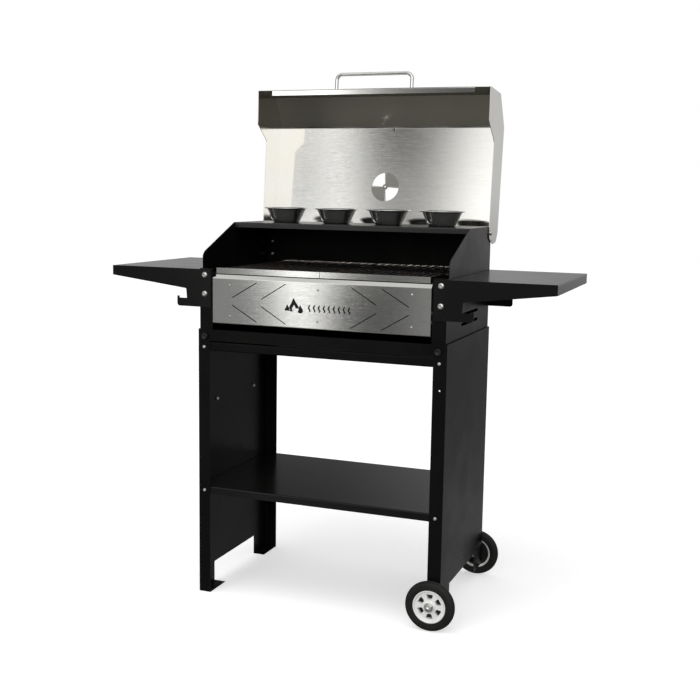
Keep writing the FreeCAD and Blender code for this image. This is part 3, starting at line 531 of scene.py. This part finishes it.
def makeWheel(end, side):
    look = dict(
        tyre=[(40, 1.2), (42.6, 0.7), (43.6, 0.7), (44.2, 1.5), (45.6, 1.5), (46.2, 0.7), (50, 0.7),
              (53.2, 1.2), (55.8, 2.4), (57.9, 4.3), (59.3, 6.6), (60, 9.2), (60, 9.9), (59.2, 10.4)],
        rim=[(40, 2.6), (40, 19.4), (39.2, 20.5), (37.4, 20.7), (36.2, 19.8), (35.4, 17.6), (34.4, 16.4),
             (34.4, 5.6), (35.4, 4.2), (36.6, 2.6)],
        boss=[(5.2, 0.2), (5.2, 21.7), (10.2, 21.7), (11.1, 20.8), (12, 18), (14.2, 16.5), (14.2, 6.5),
              (11, 0.2)],
        back=[(11.4, 5.0), (33.6, 5.0), (34.3, 5.6), (34.3, 6.4), (33.6, 6.9), (11.8, 6.9), (11.3, 6.2)],
        web=(7.0, 16.4), webRings=(35.4, 13.5), innerFace=0.201, width=22.0,
        windows=6, windowFrom=18.2, windowTo=30.4, windowHalf=16.5, windowCorner=3.0)
    middleOf = middle(f"{end}_wheel_tyre")
    spot = (middleOf.x, side * look["innerFace"], middleOf.z)
    place = Matrix.Translation(spot) @ Matrix.Rotation(math.radians(-90 * side), 4, "X")

    tyre = bmesh.new()
    half = look["tyre"]
    otherHalf = [(radius, look["width"] - height) for radius, height in reversed(half)]
    spinProfile(tyre, half + otherHalf, 96, place)
    newPiece(f"{end}WheelTyre", tyre, tyreRubber, f"{end}_wheel", [f"{end}_wheel_tyre"])

    hub = bmesh.new()
    low, high = look["web"]
    for radius in look["webRings"]:
        bmesh.ops.create_circle(hub, segments=72, radius=radius)
    swing = math.radians(look["windowHalf"])
    for k in range(look["windows"]):
        turn = math.tau * (k + 0.5) / look["windows"]
        spots = [(r * math.cos(turn + a), r * math.sin(turn + a), 0) for r, a in (
            (look["windowFrom"], -swing), (look["windowTo"], -swing), (look["windowTo"], swing),
            (look["windowFrom"], swing))]
        window = hub.faces.new([hub.verts.new(spot) for spot in spots])
        bmesh.ops.bevel(hub, geom=list(window.verts), offset=look["windowCorner"], segments=4, profile=0.5,
                        affect="VERTICES", material=-1)
    bmesh.ops.delete(hub, geom=list(hub.faces), context="FACES_ONLY")
    bmesh.ops.triangle_fill(hub, use_beauty=True, edges=list(hub.edges), normal=(0, 0, 1))
    bmesh.ops.translate(hub, vec=(0, 0, high), verts=hub.verts)
    thicken(hub, low - high)
    bmesh.ops.transform(hub, matrix=place @ millimetre, verts=hub.verts)
    spinProfile(hub, look["rim"], 96, place)
    spinProfile(hub, look["boss"], 64, place)
    # painted shade: a black disc right behind the hub's windows, so that they read dark
    back = bmesh.new()
    spinProfile(back, look["back"], 64, place)
    newPiece(f"{end}WheelShadeDisc", back, knobPlastic, f"{end}_wheel")
    newPiece(f"{end}WheelHub", hub, hubPlastic, f"{end}_wheel", [f"{end}_wheel_hub"],
             edge=0.0005)


def makeDomeNuts():
    look = dict(across=16.0, hexHeight=7.0, corner=0.9, total=0.01299, domeFoot=6.6,
                dome=[(7.2, 6.6), (7.15, 8.0), (6.7, 9.6), (5.6, 11.1), (3.9, 12.2), (2, 12.8), (0, 12.95)])
    low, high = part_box("axle_nuts")
    build = bmesh.new()
    for end, side in (("front", -1), ("rear", 1)):
        hub = middle(f"{end}_wheel_hub")
        y = low[1] + look["total"] if side < 0 else high[1] - look["total"]
        place = Matrix.Translation((hub.x, y, hub.z)) @ Matrix.Rotation(math.radians(-90 * side), 4, "X")
        radius = look["across"] / math.sqrt(3)
        made = bmesh.ops.create_cone(build, cap_ends=True, segments=6, radius1=radius, radius2=radius,
                                     depth=look["hexHeight"])["verts"]
        bmesh.ops.translate(build, vec=(0, 0, look["hexHeight"] / 2), verts=made)
        top = [edge for edge in build.edges if edge.verts[0] in made and edge.verts[1] in made
               and all(vert.co.z > look["hexHeight"] - 0.1 for vert in edge.verts)]
        bmesh.ops.bevel(build, geom=top, offset=look["corner"], segments=3, profile=0.5, affect="EDGES",
                        material=-1)
        hexagon = [vert for vert in build.verts if vert.co.length > 1.0]
        bmesh.ops.transform(build, matrix=place @ millimetre, verts=hexagon)
        spinProfile(build, [(0, look["domeFoot"])] + look["dome"], 40, place)
    newPiece("axleDomeNuts", build, screwSteel, "grill_body", ["axle_nuts"], sharp=28)


for end, side in (("front", -1), ("rear", 1)):
    makeWheel(end, side)
makeDomeNuts()
print("wheels made")


# sauce cups with a rolled rim and a wire loop

def makeCups():
    look = dict(
        wall=[(0, 0), (30.5, 0), (32.8, 0.3), (34.4, 1.1), (35.4, 2.6), (42, 17), (48.1, 30.8), (49.4, 33.2),
              (51.4, 34.9), (54.4, 35.8), (56.2, 35.7), (57.1, 36.2), (57.4, 37), (57.1, 37.8), (56.2, 38.2),
              (55.2, 37.9), (54.4, 37.2), (51, 36.2), (48.7, 34.6), (47.3, 32.2), (41, 17.6), (34.4, 3.2),
              (33.4, 1.9), (31.8, 1.2), (30, 1.0), (0, 1.0)],
        wire=1.3, halfLoop=8.0, rim=53.5, top=36, drop=29.0, turn=-116, spacing=0.142, row=0.092,
        wireGap=0.0362, wallSlope=0.455, rimFrom=0.0535, wireFace=3e-6)
    for number in range(1, 5):
        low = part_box(f"sauce_cup_{number}")[0]
        spot = Vector((look["spacing"] * (number - 2.5), look["row"], low[2]))
        place = Matrix.Translation(spot) @ Matrix.Rotation(math.radians(look["turn"]), 4, "Z")
        build = bmesh.new()
        spinProfile(build, look["wall"], 72, place)
        out, half, top = look["rim"], look["halfLoop"], look["top"]
        foot = top - look["drop"]
        corners = [((out, -half, top), (out, -half, top + 2), (out - 3, -half, top - 8)),
                   ((out - 8, -half, foot + 8), (out - 5, -half, foot + 16), (out - 9, -half, foot + 3.6)),
                   ((out - 10, 0, foot), (out - 10, -4.4, foot), (out - 10, 4.4, foot)),
                   ((out - 8, half, foot + 8), (out - 9, half, foot + 3.6), (out - 5, half, foot + 16)),
                   ((out, half, top), (out - 3, half, top - 8), (out, half, top + 2))]
        addTube(build, corners, look["wire"], place)
        cup = newPiece(f"sauceCup{number}", build, cupSteel, f"cup_{number}",
                       [f"sauce_cup_{number}"], sharp=50)
        # the rolled rim and the wire loop take the lighter copy of the steel: a painted highlight
        cup.data.materials.append(rimHighlightSteel)
        for polygon in cup.data.polygons:
            spread = (Vector(polygon.center).xy - spot.xy).length
            height = polygon.center.z - spot.z
            outside = spread > look["wireGap"] + height * look["wallSlope"]
            onWire = outside and polygon.area < look["wireFace"]
            if onWire or spread > look["rimFrom"]:
                polygon.material_index = 1


makeCups()
print("cups made")


# lid handle and the gauge, both set on the lid's panels

lidLine = dict(front=(134.0, 1275.0), brow=(240.0, 1265.0), shoulder=(287.0, 1184.0))


def onLid(foot, head, along, out):
    # a place on one panel: X across, Y up along it, Z out of the lid
    (y0, z0), (y1, z1) = lidLine[foot], lidLine[head]
    rise = Vector((0, y1 - y0, z1 - z0)).normalized()
    normal = Vector((0, rise.z, -rise.y))
    spot = (Vector((0, y0, z0)) + rise * along + normal * out) / 1000
    return Matrix.Translation(spot) @ Matrix((Vector((-1, 0, 0)), rise, normal)).transposed().to_4x4()


def makeLidHandle():
    look = dict(half=103.0, height=42.0, bend=15.0, tube=4.6, along=80.0,
                collar=[(4.7, 0), (6.9, 0), (6.7, 1.4), (5.5, 2.4), (4.7, 2.7)])
    place = onLid("brow", "front", look["along"], 0.1)
    half, height, bend = look["half"], look["height"], look["bend"]
    pull = bend * 0.552
    corners = []
    for side in (-1, 1):
        leg = [((side * half, 0, 0), (side * half, 0, -1), (side * half, 0, 9)),
               ((side * half, 0, height - bend), (side * half, 0, height - bend - 9),
                (side * half, 0, height - bend + pull)),
               ((side * (half - bend), 0, height), (side * (half - bend + pull), 0, height),
                (side * (half - bend - 9), 0, height))]
        if side > 0:
            leg = [(spot, after, before) for spot, before, after in reversed(leg)]
        corners += leg
    build = bmesh.new()
    addTube(build, corners, look["tube"], place)
    for side in (-1, 1):
        spinProfile(build, look["collar"], 32, place @ Matrix.Translation((side * half / 1000, 0, 0)))
    newPiece("lidHandleBar", build, tubeSteel, "lid", ["lid_handle"], sharp=50)


makeLidHandle()
print("handle made")


# the gauge's face, needle and case on the outside of the hood

def makeDialPaint():
    # pale enamel with a green and a red band along the scale; the piece's own map runs across the dial
    material, tree, shader, place = newMaterial("dialPaint")
    spot = addNode(tree, "ShaderNodeUVMap", uv_map="dial").outputs["UV"]
    parts = addNode(tree, "ShaderNodeSeparateXYZ", {0: spot}).outputs
    u, v = math2(tree, "SUBTRACT", parts["X"], 0.5), math2(tree, "SUBTRACT", parts["Y"], 0.5)
    angle = math2(tree, "ARCTAN2", u, v)
    squares = math2(tree, "ADD", math2(tree, "MULTIPLY", u, u), math2(tree, "MULTIPLY", v, v))
    reach = math2(tree, "SQRT", squares)
    ring = math2(tree, "MULTIPLY", remap(tree, reach, 0.3, 0.305), remap(tree, reach, 0.36, 0.355))
    warm = math2(tree, "MULTIPLY", ring, remap(tree, angle, 0.9, 0.92))
    between = math2(tree, "MULTIPLY", remap(tree, angle, -0.6, -0.58), remap(tree, angle, 0.86, 0.84))
    good = math2(tree, "MULTIPLY", ring, between)
    stain = useGroup(tree, smudges, Vector=place, Size=0.008)["Smudge"]
    face = mixColor(tree, stain, (0.82, 0.82, 0.78, 1), (0.7, 0.69, 0.63, 1))
    face = mixColor(tree, good, face, (0.12, 0.32, 0.1, 1))
    face = mixColor(tree, warm, face, (0.5, 0.06, 0.03, 1))
    tree.links.new(face, shader.inputs["Base Color"])
    tree.links.new(remap(tree, stain, 0, 1, 0.35, 0.5), shader.inputs["Roughness"])
    return material


def makeGauge():
    look = dict(along=32.0, radius=22.4, thick=1.0, height=5.0, sweep=270.0, ink=0.12,
                ticks=31, ticksPerLong=5, tickFrom=18.2, tickTo=21.0, longFrom=16.6,
                tickWide=0.35, longWide=0.7,
                numbers=7, firstNumber=50, numberStep=50, numberRadius=13.2, numberSize=3.3,
                needleTurn=55.0, needleThick=0.5,
                needle=[(-1.1, -6), (-0.9, 0), (-0.25, 16.5), (0.25, 16.5), (0.9, 0), (1.1, -6)],
                pin=[(0, 0.2), (2.6, 0.2), (2.6, 1.2), (1.9, 1.7), (0, 1.9)],
                case=[(3.2, 0), (19.6, 0), (22.4, 0.7), (24.4, 2.2), (25, 4.2), (25, 9.8), (24.7, 11.1),
                      (24, 11.8), (23.3, 12), (22.8, 11.6), (22.6, 10.8), (22.6, 5), (3.2, 5)])
    place = onLid("shoulder", "brow", look["along"], 0.1)
    lift = look["height"] + look["thick"]

    case = bmesh.new()
    spinProfile(case, look["case"], 72, place)
    newPiece("gaugeCase", case, tubeSteel, "lid", ["thermometer_case"], sharp=45)

    face = bmesh.new()
    bmesh.ops.create_circle(face, cap_ends=True, segments=72, radius=look["radius"])
    thicken(face, look["thick"])
    layer = face.loops.layers.uv.new("dial")
    for polygon in face.faces:
        for loop in polygon.loops:
            across = loop.vert.co.xy / look["radius"] / 2
            loop[layer].uv = (0.5 + across.x, 0.5 + across.y)
    stand = place @ millimetre @ Matrix.Translation((0, 0, look["height"]))
    bmesh.ops.transform(face, matrix=stand, verts=face.verts)
    newPiece("gaugeFace", face, makeDialPaint(), "lid", ["thermometer_dial"])

    marks = bmesh.new()
    for k in range(look["ticks"]):
        turn = math.radians(look["sweep"] / 2 - look["sweep"] * k / (look["ticks"] - 1))
        long = k % look["ticksPerLong"] == 0
        low = look["longFrom"] if long else look["tickFrom"]
        length = look["tickTo"] - low
        made = bmesh.ops.create_cube(marks, size=1.0)["verts"]
        centre = (0, low + length / 2, lift + look["ink"] / 2)
        shape = Matrix.Rotation(turn, 4, "Z") @ Matrix.Translation(centre)
        size = Matrix.Diagonal((look["longWide"] if long else look["tickWide"], length, look["ink"], 1))
        bmesh.ops.transform(marks, matrix=place @ millimetre @ shape @ size, verts=made)
    for k in range(look["numbers"]):
        turn = math.radians(look["sweep"] / 2 - look["sweep"] * k / (look["numbers"] - 1))
        text = bpy.data.curves.new("number", "FONT")
        text.body = str(look["firstNumber"] + look["numberStep"] * k)
        text.size = look["numberSize"]
        text.align_x, text.align_y = "CENTER", "CENTER"
        text.extrude = 0.05
        text.resolution_u = 3
        spot = Matrix.Rotation(turn, 4, "Z") @ Vector((0, look["numberRadius"], lift + look["ink"] / 2))
        addCurve(marks, text, place @ millimetre @ Matrix.Translation(spot))
    newPiece("gaugeMarks", marks, markPaint, "lid")

    needle = bmesh.new()
    needle.faces.new([needle.verts.new((a, b, lift + look["needleThick"])) for a, b in look["needle"]])
    thicken(needle, look["needleThick"])
    turned = place @ millimetre @ Matrix.Rotation(math.radians(look["needleTurn"]), 4, "Z")
    bmesh.ops.transform(needle, matrix=turned, verts=needle.verts)
    spinProfile(needle, [(radius, lift + rise) for radius, rise in look["pin"]], 32, place)
    newPiece("gaugeNeedle", needle, markPaint, "lid", edge=0.00012)


# ribbed thumb screws at the fire box's foot

def makeThumbScrews():
    look = dict(head=[(0, 0), (7.2, 0), (7.9, 0.5), (8.2, 1.4), (8.2, 5.8), (7.9, 6.7), (7.0, 7.3),
                      (5.4, 7.4), (4.9, 6.9), (0, 6.8)],
                shank=[(0, -9), (2.4, -9), (3, -8.4), (3, 0.2), (0, 0.2)], ribs=24, ribDepth=0.93)
    low, high = (Vector(corner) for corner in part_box("pan_thumb_screws"))
    centreZ = (low.z + high.z) / 2
    build = bmesh.new()
    for side in (-1, 1):
        for x in (low.x + 0.0082, high.x - 0.0082):
            y = low.y + 0.0075 if side < 0 else high.y - 0.0075
            place = Matrix.Translation((x, y, centreZ)) @ Matrix.Rotation(math.radians(-90 * side), 4, "X")
            made = spinProfile(build, look["head"], look["ribs"] * 2, Matrix())
            for vert in made:
                column = round(math.atan2(vert.co.y, vert.co.x) / math.tau * look["ribs"] * 2)
                if column % 2 and vert.co.xy.length > 0.0075:
                    vert.co.xy *= look["ribDepth"]
            bmesh.ops.transform(build, matrix=place, verts=made)
            spinProfile(build, look["shank"], 24, place)
    newPiece("panThumbScrews", build, knobPlastic, "grill_body", ["pan_thumb_screws"], sharp=50)


makeThumbScrews()
print("thumb screws made")


# three plain flames and a row of heat waves, printed on the drawer front

def makeFlameMark():
    look = dict(flame=[(0, 0), (-7.5, 2), (-12.5, 8), (-12, 16), (-7.5, 22), (-5.5, 28), (-1, 38), (2.5, 29),
                       (8, 22), (12.5, 15), (12, 7), (7.5, 2)],
                heart=[(0, 4), (-4.2, 6), (-5.4, 11), (-2.6, 15.5), (0.4, 21), (3, 15), (5.6, 10.5),
                       (4.2, 6)],
                flames=[(-61.0, 1.0), (-78.0, 0.56), (-44.5, 0.56)], foot=725.0,
                wiggle=[(-1.6, 0), (1.4, 3.5), (-3.4, 8), (-2.6, 13), (0.6, 17.5), (3.2, 17.5), (1.6, 13),
                        (0.6, 8.5), (4.6, 4.5), (2.4, 0)],
                wiggleFrom=-22.0, wiggleStep=12.6, wiggles=9, wiggleFoot=729.5, thick=0.22, gap=0.06)
    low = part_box("drawer_front")[0]
    face = low[1] * 1000 - look["gap"]
    build = bmesh.new()

    def outline(points, centre):
        curve = bpy.data.curves.new("outline", "CURVE")
        curve.dimensions = "2D"
        curve.fill_mode = "NONE"
        line = curve.splines.new("NURBS")
        line.points.add(len(points) - 1)
        line.use_cyclic_u = True
        for point, (a, b) in zip(line.points, points):
            point.co = (centre[0] + a, centre[1] + b, 0, 1)
        line.order_u = 3
        line.resolution_u = 5
        addCurve(build, curve, Matrix())

    for x, size in look["flames"]:
        outline([(a * size, b * size) for a, b in look["flame"]], (x, look["foot"]))
    outline(look["heart"], (look["flames"][0][0], look["foot"]))
    for k in range(look["wiggles"]):
        outline(look["wiggle"], (look["wiggleFrom"] + k * look["wiggleStep"], look["wiggleFoot"]))
    bmesh.ops.remove_doubles(build, verts=build.verts, dist=1e-5)
    bmesh.ops.triangle_fill(build, use_beauty=True, edges=list(build.edges), normal=(0, 0, 1))
    thicken(build, look["thick"])
    stand = Matrix.Translation((0, face / 1000, 0)) @ Matrix.Rotation(math.radians(90), 4, "X") @ millimetre
    bmesh.ops.transform(build, matrix=stand, verts=build.verts)
    newPiece("flameMark", build, markPaint, "fire_drawer", sharp=30)


markPaint = makeMoulded("markPaint", dict(
    dark=(0.004, 0.004, 0.004), light=(0.008, 0.008, 0.008), grain=0.0005, edgeWidth=0.0003, edgeShow=0.2,
    edgeColor=(0.03, 0.03, 0.03), dirtSize=0.01, dirt=0.08, dirtColor=(0.05, 0.05, 0.05), rough=0.42,
    shine=0.3, relief=0.000004))
makeFlameMark()
makeGauge()
print("mark and gauge made")


# the studio

def makeFloor():
    size = 14.0
    build = bmesh.new()
    bmesh.ops.create_circle(build, cap_ends=True, segments=96, radius=size)
    mesh = bpy.data.meshes.new("floor")
    build.to_mesh(mesh)
    build.free()
    floor = bpy.data.objects.new("floor", mesh)
    scene.collection.objects.link(floor)
    material, tree, shader, place = newMaterial("paleFloor")
    tone = noise(tree, place, 1.5, 3.0, 0.5)
    pale = mixColor(tree, tone, (0.8, 0.8, 0.8, 1), (0.84, 0.84, 0.84, 1))
    tree.links.new(pale, shader.inputs["Base Color"])
    shader.inputs["Roughness"].default_value = 0.9
    shader.inputs["Specular IOR Level"].default_value = 0.1
    shader.inputs["Emission Color"].default_value = (1, 1, 1, 1)
    shader.inputs["Emission Strength"].default_value = 0.45
    mesh.materials.append(material)
    floor.visible_glossy = False
    floor.visible_diffuse = False


def aroundRamp(tree, angle, stops):
    # stops are (degrees, brightness) pairs in rising order
    first, last = stops[0][0], stops[-1][0]
    place = remap(tree, angle, math.radians(first), math.radians(last))
    span = last - first
    return ramp(tree, place, [((degrees - first) / span, float(level)) for degrees, level in stops])


def makeSurroundings():
    # brightness that the steel mirrors, by compass angle; each row is one height in the room
    # the pairs are set for the camera below, and from other angles they are only a likely studio
    front = [
        (-0.5, [(-60, 0.3), (-27, 0.25), (-12, 0.12), (60, 0.3)]),
        (-0.1, [(-60, 0.3), (-35, 0.2), (-28, 0.3), (-26.4, 0.27), (-25.2, 0.4), (-24.4, 1.2), (-23.7, 2.0),
                (-23, 1.4), (-22.2, 0.4), (-21.4, 0.16), (-20.4, 0.12), (-19.2, 0.12), (-18, 0.15),
                (-17, 0.35), (-14, 0.2), (60, 0.3)]),
        (0.03, [(-60, 0.3), (-28, 0.12), (-26.6, 0.5), (-25.6, 1.7), (-24.4, 2.6), (-22.6, 2.8), (-21.6, 1.5),
                (-20.6, 0.8), (-19.4, 0.4), (-18, 0.25), (-16, 0.1), (-10, 0.1), (5, 0.5), (60, 0.6)]),
        (0.205, [(-60, 0.4), (-34, 0.8), (-25.4, 1.3), (-24.2, 0.6), (-23.6, 0.5), (-22.9, 1.4), (-22.1, 1.5),
                 (-21, 0.75), (-20, 0.5), (-18.4, 0.44), (-17.3, 0.6), (-16.3, 1.0), (-15.2, 1.7),
                 (-10, 1.9), (8, 1.9), (35, 2.0), (60, 0.6)]),
        (0.285, [(-60, 0.4), (-34, 0.7), (-25.6, 1.3), (-24.6, 0.9), (-24.1, 0.5), (-23.3, 1.4), (-22.4, 1.5),
                 (-21.7, 0.7), (-21.1, 0.3), (-20, 0.16), (-19, 0.14), (-17.9, 0.3), (-16.9, 0.5),
                 (-15.9, 0.9), (-14.8, 1.4), (-8, 1.5), (8, 1.9), (35, 2.0), (60, 0.6)])]
    back = [
        (-0.3, [(-60, 0.3), (0, 0.35), (60, 0.3)]),
        (-0.15, [(-60, 0.12), (0, 0.16), (60, 0.14)]),
        (0.0, [(-60, 0.3), (-36, 0.6), (-28, 0.6), (-19, 0.5), (-13, 0.52), (-9, 0.4), (0, 0.6), (18, 0.72),
               (30, 0.5), (60, 0.3)]),
        (0.09, [(-60, 0.3), (-36, 0.6), (-28, 0.6), (-19, 0.5), (-13, 0.52), (-9, 0.4), (0, 0.6), (18, 0.7),
                (30, 0.5), (60, 0.3)]),
        (0.25, [(-60, 0.03), (-27, 0.03), (-21, 0.11), (-15, 0.36), (-8, 0.5), (20, 0.4), (60, 0.3)])]
    world = bpy.data.worlds.new("studio")
    scene.world = world
    world.use_nodes = True
    tree = world.node_tree
    direction = addNode(tree, "ShaderNodeTexCoord").outputs["Generated"]
    parts = addNode(tree, "ShaderNodeSeparateXYZ", {0: direction}).outputs
    x, y, z = parts["X"], parts["Y"], parts["Z"]
    toFront = math2(tree, "ARCTAN2", x, math2(tree, "MULTIPLY", y, -1.0))
    toBack = math2(tree, "ARCTAN2", x, y)

    def stack(angle, rows):
        level = aroundRamp(tree, angle, rows[0][1])
        for (lower, _), (upper, stops) in zip(rows, rows[1:]):
            level = mixColor(tree, remap(tree, z, lower, upper), level, aroundRamp(tree, angle, stops))
        return level

    turning = remap(tree, y, -0.25, 0.25, smooth=True)
    around = mixColor(tree, turning, stack(toFront, front), stack(toBack, back))
    above = mixColor(tree, remap(tree, z, 0.42, 0.8, smooth=True), around, (0.8, 0.8, 0.8, 1))
    below = mixColor(tree, remap(tree, z, -0.4, -0.7, smooth=True), above, (0.16, 0.15, 0.13, 1))
    seen = addNode(tree, "ShaderNodeLightPath").outputs["Is Camera Ray"]
    tree.links.new(mixColor(tree, seen, below, (1, 1, 1, 1)), tree.nodes["Background"].inputs["Color"])


def makeLamp(name, place, target, size, power):
    lamp = bpy.data.lights.new(name, "AREA")
    lamp.shape = "RECTANGLE"
    lamp.size, lamp.size_y = size
    lamp.energy = power
    holder = bpy.data.objects.new(name, lamp)
    scene.collection.objects.link(holder)
    holder.location = place
    holder.rotation_euler = (Vector(target) - Vector(place)).to_track_quat("-Z", "Y").to_euler()
    return holder


def makeCamera():
    look = dict(place=(0.98928, -2.55662, 1.01535), turn=21.0, tilt=8.3, roll=0.92, lens=56.22)
    turn, tilt, roll = (math.radians(look[key]) for key in ("turn", "tilt", "roll"))
    ahead = Vector((-math.sin(turn) * math.cos(tilt), math.cos(turn) * math.cos(tilt), -math.sin(tilt)))
    level = Vector((math.cos(turn), math.sin(turn), 0))
    upright = level.cross(ahead)
    right = level * math.cos(roll) + upright * math.sin(roll)
    up = upright * math.cos(roll) - level * math.sin(roll)
    data = bpy.data.cameras.new("camera")
    data.sensor_width = 36.0
    data.lens = look["lens"]
    camera = bpy.data.objects.new("camera", data)
    scene.collection.objects.link(camera)
    turned = Matrix((right, up, -ahead)).transposed().to_4x4()
    camera.matrix_world = Matrix.Translation(look["place"]) @ turned
    scene.camera = camera


makeFloor()
makeSurroundings()
makeCamera()
top = makeLamp("topLight", (-0.6, -0.9, 3.2), (0, 0, 0.7), (2.4, 1.6), 26)
front = makeLamp("frontFill", (-0.4, -3.4, 1.6), (0, 0, 0.6), (2.6, 1.8), 26)
for lamp in (top, front):
    lamp.visible_glossy = False
scene.view_settings.view_transform = "Standard"
scene.view_settings.look = "None"
print("studio ready")
